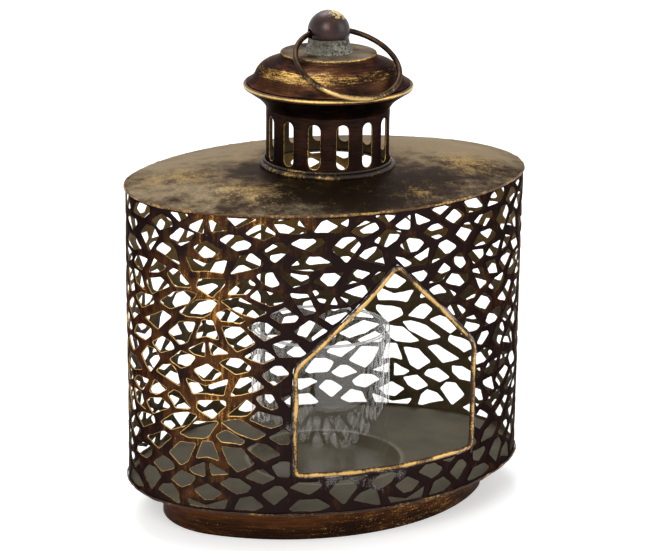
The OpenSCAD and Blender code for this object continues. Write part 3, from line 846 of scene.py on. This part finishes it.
slots = [obround(slot_place(k), deck_z + slot_up, slot_w, slot_h) for k in range(slot_count)]
drum = pierced_sheet("chimney_drum", slots, deck_z, deck_z + drum_h, drum_girth, bent_drum, 1, grid=3.5)
flare_shape = [(0, 0), (0.03, 0.09), (0.12, 0.24), (0.26, 0.42),
    (0.43, 0.58), (0.64, 0.74), (0.84, 0.88), (1, 1)]
flare_outer = [(drum_r + x * (lip_r - drum_r), drum_h + y * flare_h) for x, y in flare_shape]
flare_inner = [(r - 0.7, h + 0.7) for r, h in reversed(flare_outer)][:-1] + [(drum_r - 1, drum_h)]
flare = turned("chimney_flare", flare_outer + flare_inner, deck_z, 60)
drum_finish = Finish("dark_chimney_brown", 0.3, Specular_Tint=(0.35, 0.25, 0.2))
rim, ledge, inside = map(drum_finish.trait, ("rim", "ledge", "inside"))
drum_cloud = drum_finish.grain(13)
drum_lines = drum_finish.grain(1.3, 3, 0.6, stretch=(0.12, 0.12, 1.4))
drum_specks = drum_finish.grain(0.9, 3, 0.7)
drum_warm = (drum_cloud + drum_lines.swing(0.7)).over(0.3, 0.85)
drum_finish.ground(drum_warm, (0.0105, 0.0062, 0.0052), (0.036, 0.0155, 0.01))
under_flare = (1 - (drum_finish.height() - (deck_z + drum_h) * mm).size().over(1 * mm, 6 * mm)) * 0.16
# Gold on the slots' edges: wear, with a painted highlight added on the edges that face up (ledge).
drum_gold_and_highlight = (rim**2 * (0.7 + ledge * 0.3) + under_flare + drum_specks.swing(0.9)
    + drum_lines.swing(0.5) + drum_cloud.swing(0.5)).over(0.38, 0.8)
drum_finish.coat(drum_gold_and_highlight, (0.62, 0.39, 0.12))
drum_finish.coat(inside * 0.6, (0.075, 0.052, 0.02))
drum_finish.give(Roughness=0.42 + drum_cloud.swing(0.2), Metallic=0.88 - inside * 0.5)
drum_finish.relief(drum_lines * 0.5 + drum_cloud * 0.5, 0.3)
for piece in (drum, flare):
    fit_on(piece, "chimney_metal", drum_finish, "vent_drum")

# Lid: a spun cap with a flat crown, an ogee shoulder and a flared brim, lacquered dark and
# rubbed to gold on its shoulder, brim and crown edge.
lid_z = deck_z + drum_h + flare_h + 4.1
lid_h = 17.1
lid_t = 0.75
lid_shape = [(1, 0), (0.974, 0.03), (0.935, 0.123), (0.905, 0.24), (0.883, 0.374), (0.844, 0.515),
    (0.79, 0.626), (0.725, 0.696), (0.66, 0.749), (0.61, 0.825), (0.589, 0.918)]


def curve_through(points, steps=4):
    """Smooth line through the given points."""
    line = []
    for k in range(len(points) - 1):
        a, b, c, d = [Vector(points[min(max(k + m, 0), len(points) - 1)]) for m in (-1, 0, 1, 2)]
        for m in range(steps):
            t = m / steps
            line.append((b * 2 + (c - a) * t + (a * 2 - b * 5 + c * 4 - d) * t**2
                + (b * 3 - a - c * 3 + d) * t**3) / 2)
    return line + [Vector(points[-1])]


lid_line = [(lip_r - 0.05, -0.4)] + [(p.x * lip_r, p.y * lid_h) for p in curve_through(lid_shape)]
crown_r = 0.593 * lip_r
lid_line += [(crown_r - 0.1, lid_h * 0.965), (crown_r - 0.35, lid_h - 0.15)]
lid_line += [(r, lid_h) for r in (crown_r - 0.9, crown_r - 1.5, 24, 20, 16, 8, 0.2)]
lid_line += [(max(r - lid_t, 0.2), h - lid_t) for r, h in reversed(lid_line)]
lid_edge = [float(abs(r - crown_r + 0.35) < 0.3 and h > lid_h * 0.95) for r, h in lid_line]
lid = turned("lid_cap", lid_line, lid_z, 40, traits={"edge": lid_edge})
lid_finish = Finish("rubbed_lid_brown", 0.3, Specular_Tint=(0.4, 0.3, 0.22))


def belt(finish, z, reach):
    """1 at height z and 0 beyond reach above or below it, in millimetres."""
    away = (finish.height() - z * mm).size()
    return 1 - away.over(reach * 0.2 * mm, reach * mm)


spun = lid_finish.grain(1.0, 4, 0.7, stretch=(0.12, 0.12, 2.2))
patchy = lid_finish.grain(19)
lid_fine = lid_finish.grain(1.0, 3, 0.7)
on_crown = lid_finish.height().over((lid_z + lid_h - 0.6) * mm, (lid_z + lid_h - 0.2) * mm)
lid_warm = (patchy + spun.swing(0.9)).over(0.3, 0.75)
lid_finish.ground(lid_warm, (0.0125, 0.0072, 0.006), (0.073, 0.029, 0.0132))
hollow_grey = belt(lid_finish, lid_z + lid_h * 0.74, 3)
lid_grey = (patchy.swing(1.6) + lid_fine.swing(1) + hollow_grey * 0.2 + on_crown * 0.65).over(0.3, 0.85)
lid_finish.coat(lid_grey * 0.8, (0.185, 0.155, 0.105))
shoulder_gold = belt(lid_finish, lid_z + lid_h * 0.5, 4.2)
lid_left = lid_finish.near((-0.036, -0.022, (lid_z + 8) * mm), 34)
lid_gold = (shoulder_gold * (0.3 + lid_left * 0.26) + lid_finish.trait("edge") * 0.55
    + spun.swing(1.7) + patchy.swing(0.5) + lid_fine.swing(1.1)).over(0.26, 0.85)
lid_finish.coat(lid_gold, (0.74, 0.46, 0.14))
lid_finish.give(Roughness=0.4 + lid_grey * 0.2, Metallic=0.85 - lid_grey * 0.4)
lid_finish.relief(spun * 0.5 + patchy * 0.4 + lid_fine * 0.15, 0.3)
fit_on(lid, "top_metal", lid_finish, "cap_lid")

# Lid bead: brim and flare are rolled together into a double edge, with shallow grooves where
# the sheets meet, and bright where it is handled.
bead_mid_r = lip_r + 0.6
bead_fat = 1.46
bead_z = deck_z + drum_h + flare_h + 2.05
bead_turns = full_turn(24)
bead_grooves = [0.28 * max(0, math.cos(3 * (a + 0.35))) for a in bead_turns]
bead_line = [(bead_mid_r + (bead_fat - groove) * math.cos(a), bead_fat * math.sin(a))
    for a, groove in zip(bead_turns, bead_grooves)]
bead_crest = [max(0, math.cos(a - 0.35)) ** 7 for a in bead_turns]
bead = turned("lid_bead", bead_line, bead_z, 70, dent=0.12, size=6, traits={"crest": bead_crest})
bead_finish = Finish("gold_rolled_bead", 0.4)
bead_lumps = bead_finish.grain(1.3, 4, 0.65)
bead_patches = bead_finish.grain(16)
bead_share = (bead_finish.trait("crest") * 0.85 + bead_lumps.swing(1)
    + bead_patches.swing(1.1)).over(0.2, 0.8)
bead_finish.ground(bead_share, (0.046, 0.022, 0.009), (0.72, 0.46, 0.15))
bead_finish.give(Roughness=0.42, Metallic=0.8)
bead_finish.relief(bead_lumps, 0.25)
fit_on(bead, "brass_wire", bead_finish, "cap_bead")

# Knob neck: a cone of solder that holds the knob on the lid, left rough and gone grey-green
# with black pits.
crown_z = lid_z + lid_h
neck_h = 8
neck_shape = [(13.9, 0), (13.4, 0.4), (12.9, 1.2), (12.5, 2.5), (12.1, 4.1), (11.8, 5.6), (11.6, 7.2)]
neck_line = [(p.x, p.y) for p in curve_through(neck_shape + [(11.5, neck_h)], 3)]
neck_line += [(10.3, neck_h), (10.3, 0.05)]
neck = turned("knob_neck_solder", neck_line, crown_z, 60, dent=0.42, size=3.4, seed=4)
neck_finish = Finish("pitted_grey_solder", 0.4)
crust = neck_finish.grain(1.4, 5, 0.75)
pits = neck_finish.grain(2.6, 5, 0.75)
neck_cloud = neck_finish.grain(9, 2)
neck_left = neck_finish.near((-0.016, -0.006, (crown_z + 3) * mm), 16)
neck_pale = (crust + neck_cloud.swing(0.8)).over(0.3, 0.7)
neck_finish.ground(neck_pale, (0.09, 0.08, 0.058), (0.315, 0.305, 0.25))
neck_finish.coat(neck_left * 0.6, (0.155, 0.125, 0.085))
neck_pits = (pits + crust.swing(0.8) - neck_left * 0.12).over(0.47, 0.56)
neck_finish.coat(neck_pits * 0.9, (0.022, 0.022, 0.018))
neck_finish.give(Roughness=0.62 + crust.swing(0.3), Metallic=0.15)
neck_finish.relief(crust * 0.5 - pits, 1.0)
fit_on(neck, "solder", neck_finish, "knob_neck")

# Knob: a hollow dome of dark red lacquer over the neck, with an arched eye on each side for
# the ring, and gold rubbed on its crown.
knob_r = 12
neck_top = crown_z + neck_h
eye_d = 5.5
eye_z = neck_top + eye_d / 2 + sheet_t / 6
knob_z = eye_z + eye_d / 8
knob_low = math.asin((neck_top - knob_z) / knob_r)
knob_high = math.pi / 2 - 0.03
knob_turns = [knob_low + (knob_high - knob_low) * k / 20 for k in range(21)]
knob_outer = [round_point(knob_r, a) for a in knob_turns]
knob_inner = [(r * 0.9, h * 0.9) for r, h in reversed(knob_outer)]
knob_inner[-1] = (knob_inner[-1][0] * 0.985, knob_outer[0][1])
knob = turned("knob_dome", knob_outer + knob_inner, knob_z, 50, 96)
eye_turns = [math.pi * k / 16 for k in range(17)]
eye_arch = [round_point(eye_d / 2, a) for a in eye_turns]
eye_arch += [(-eye_d / 2, -eye_d), (eye_d / 2, -eye_d)]
eye_loops = [[Vector((x, y, eye_z + z)) * mm for y, z in eye_arch] for x in (-20, 20)]
eye_cutter = skin("eye_cutter", eye_loops, False)
eyes = knob.modifiers.new("eyes", "BOOLEAN")
eyes.object = eye_cutter
eyes.solver = "EXACT"
whole_knob = knob.evaluated_get(bpy.context.evaluated_depsgraph_get())
knob.data = bpy.data.meshes.new_from_object(whole_knob)
knob.modifiers.clear()
bpy.data.objects.remove(eye_cutter)
knob_finish = Finish("dark_red_knob", 0.45)
crown_touch = knob_finish.near((0.003, -0.004, (knob_z + knob_r - 1) * mm), 12)
knob_cloud = knob_finish.grain(7)
knob_flecks = knob_finish.grain(1.7, 4, 0.7, stretch=(1, 1, 0.35))
knob_finish.ground(knob_cloud.over(0.3, 0.7), (0.0075, 0.0036, 0.0032), (0.04, 0.0105, 0.0072))
knob_gold = (crown_touch * 0.95 + knob_flecks.swing(2.4) + knob_cloud.swing(0.6)).over(0.55, 0.95)
knob_finish.coat(knob_gold, (0.74, 0.54, 0.24))
knob_finish.give(Roughness=0.33 + knob_gold * 0.12, Metallic=0.3 + knob_gold * 0.5)
knob_finish.relief(knob_cloud * 0.5 + knob_flecks * 0.2, 0.3)
fit_on(knob, "knob_metal", knob_finish, "knob")

# Ring: a wire bent round through the knob's eyes, which lies forward on the lid's bead and
# swings over the top. Its front is rubbed bright by the hand that lifts it.
ring_r = 29.8
ring_d = 3.2
hinge_in = math.sqrt(ring_r**2 - knob_r**2)
bead_drop = eye_z - bead_z
bead_clear = 1.5 + ring_d / 2 + 0.3
rest = math.atan2(bead_drop, bead_mid_r) - math.asin(bead_clear / math.hypot(bead_drop, bead_mid_r))
ring_lean = Matrix.Rotation(rest, 3, "X")
ring_middle = Vector((0, 0, eye_z)) * mm + ring_lean @ Vector((0, -hinge_in, 0)) * mm
ring_turns = full_turn(160)
ring_outs = [ring_lean @ Vector((*round_point(1, a), 0)) for a in ring_turns]
ring_section = round_section(ring_d / 2, 16)
ring_crest = {"crest": [max(0, 2 * x / ring_d) for x, y in ring_section] * len(ring_turns)}
ring_line = [(ring_middle + out * ring_r * mm, out) for out in ring_outs]
ring = tube("carrying_ring", ring_line, ring_section,
    lambda k: 0.96 + 0.035 * wave(k / 4, 1, 0), traits=ring_crest)
ring_finish = Finish("handled_dark_ring", Specular_Tint=(0.6, 0.5, 0.4))
ring_front = ring_middle + ring_lean @ Vector((-12, -ring_r, 1)) * mm
ring_cloud = ring_finish.grain(7)
ring_specks = ring_finish.grain(1.1, 3, 0.7)
ring_worn = (ring_finish.near(ring_front, 44) * (0.28 + ring_finish.trait("crest") * 0.5)
    + ring_cloud.swing(0.7) + ring_specks.swing(1)).over(0.2, 0.7)
ring_finish.ground(ring_cloud.over(0.3, 0.7), (0.013, 0.008, 0.0062), (0.05, 0.026, 0.014))
ring_finish.coat(ring_worn, (0.64, 0.42, 0.16))
ring_finish.give(Roughness=0.34, Metallic=0.7)
ring_finish.relief(ring_cloud * 0.5 + ring_specks * 0.3, 0.25)
fit_on(ring, "ring_metal", ring_finish, "ring_handle", body="ring")

# Glass: a straight clear cup with a thick base and a fire-rounded lip that catches the light,
# loose in the floor's well and a little off its middle. Two thin pale rings at the lip are
# painted highlights.
glass_r = 40.3
glass_h = 88.9
glass_wall = 3.2
glass_base = 6
glass_place = (-2.5, 1.2)
glass_lip = glass_wall / 2
lip_turns = [math.pi * k / 8 for k in range(9)]
glass_line = [(0.3, 0.1), (glass_r - 3, 0.02), (glass_r - 1.2, 0.4), (glass_r - 0.3, 1.4), (glass_r, 3)]
glass_line += [(glass_r, z) for z in (20, 40, 60, 75)]
glass_line += [round_point(glass_lip, a, glass_r - glass_lip, glass_h - glass_lip) for a in lip_turns]
inner_r = glass_r - glass_wall
glass_line += [(inner_r, z) for z in (75, 60, 40, 20, glass_base + 5)]
glass_line += [(inner_r - 0.8, glass_base + 2), (inner_r - 2.6, glass_base + 0.5),
    (glass_r - 9, glass_base), (20, glass_base - 0.5), (0.3, glass_base - 1)]
glass = turned("glass_tumbler", glass_line, floor_z - well_deep, 60, 160, middle=glass_place)
glass_coat = {"IOR": 1.0, "Coat_Weight": 1.0, "Coat_IOR": 1.5, "Coat_Roughness": 0.0}
glass_finish = Finish("clear_glass", Transmission_Weight=1.0, Roughness=0.0,
    Base_Color=(0.965, 0.962, 0.957), **glass_coat)
ripple = glass_finish.grain(9, 1, stretch=(1, 1, 0.08))
upright = glass_finish.height().over((floor_z + 2) * mm, (floor_z + 12) * mm)
glass_finish.give(Coat_Weight=upright * 0.85 + 0.15)
glass_finish.relief(ripple * upright, 0.015)
fit_on(glass, "glass", glass_finish, "glass_cup", body="glass")
# Painted highlight: two thin pale rings along the lip, less clear than the glass.
lip_highlight_finish = Finish("painted_glass_lip_highlight", Transmission_Weight=0.35, Roughness=0.05,
    Base_Color=(0.8, 0.8, 0.79), **glass_coat)
for name, r in (("outer", glass_r - 0.42), ("inner", inner_r + 0.42)):
    edge_line = round_section(0.4, 8, (r, glass_h - 1))
    edge = turned("glass_lip_" + name, edge_line, floor_z - well_deep, 80, 160, middle=glass_place)
    fit_on(edge, "glass", lip_highlight_finish, "glass_cup", body="glass")

# The table and the room: a plain pale floor that runs on out of sight, white to the camera
# and in reflections, so that it keeps only the lantern's shadow.
reach = 6.0
corners = [(-reach, -reach, 0), (reach, -reach, 0), (reach, reach, 0), (-reach, reach, 0)]
studio = smooth_piece("studio_floor", corners, [(0, 1, 2, 3)])
paper = Finish("white_paper", 0.1, Roughness=0.9, Base_Color=(0.86, 0.86, 0.86), Emission_Strength=1.0)


def shown(nodes):
    """1 to the camera, in reflections and through glass, and 0 to the light that falls on the lantern."""
    seen, mirrored, through = [nodes.node("LightPath", out=way)
        for way in ("Is Camera Ray", "Is Glossy Ray", "Is Transmission Ray")]
    return seen.math("MAXIMUM", seen.math("MAXIMUM", seen, mirrored), through)


paper.give(Emission_Color=paper.blend(shown(paper), (0, 0, 0), (0.4, 0.4, 0.4)))
studio.data.materials.append(paper.material)

world = bpy.data.worlds.new("studio")
bpy.context.scene.world = world
world.use_nodes = True
sky = Nodes(world.node_tree)
background = world.node_tree.nodes["Background"]
background.inputs["Color"].default_value = opaque((1, 1, 1))
sky_level = sky.node("MapRange", {}, {"Value": shown(sky), "To Min": 0.55, "To Max": 1.0})
sky.feed(background.inputs["Strength"], sky_level)

for name, place, size, power in [
    ("key_left", (-1.3, -1.3, 1.5), 1.0, 26),
    ("fill_right", (1.6, -1.2, 0.9), 1.2, 12),
    ("top_back", (0.2, 1.0, 1.9), 1.2, 20)]:
    lamp = bpy.data.lights.new(name, "AREA")
    lamp.size = size
    lamp.energy = power
    light = put_in(name, lamp)
    light.location = place
    light.rotation_euler = (Vector((0, 0, 0.14)) - light.location).to_track_quat("-Z", "Y").to_euler()

# Camera: a step and a half away, to the left of the window and a little above it, through a
# long lens.
yaw, raised = -26.69, 15.736
pan, tilt, roll = 0.0294, -0.9462, 0.5734
away = 1498.02
aim_z = 160.5
right = Vector((*round_point(1, math.radians(yaw)), 0))
back = Vector((right.y, -right.x, math.tan(math.radians(raised)))).normalized()
turn = Matrix((right, back.cross(right), back)).transposed()
for angle, axis in ((pan, "Y"), (tilt, "X"), (roll, "Z")):
    turn = turn @ Matrix.Rotation(math.radians(angle), 3, axis)
lens = bpy.data.cameras.new("camera")
lens.sensor_width = 36
lens.lens = 144.25
camera = put_in("camera", lens)
camera.matrix_world = Matrix.Translation((Vector((0, 0, aim_z)) + back * away) * mm) @ turn.to_4x4()
bpy.context.scene.camera = camera
bpy.context.scene.view_settings.view_transform = "Standard"
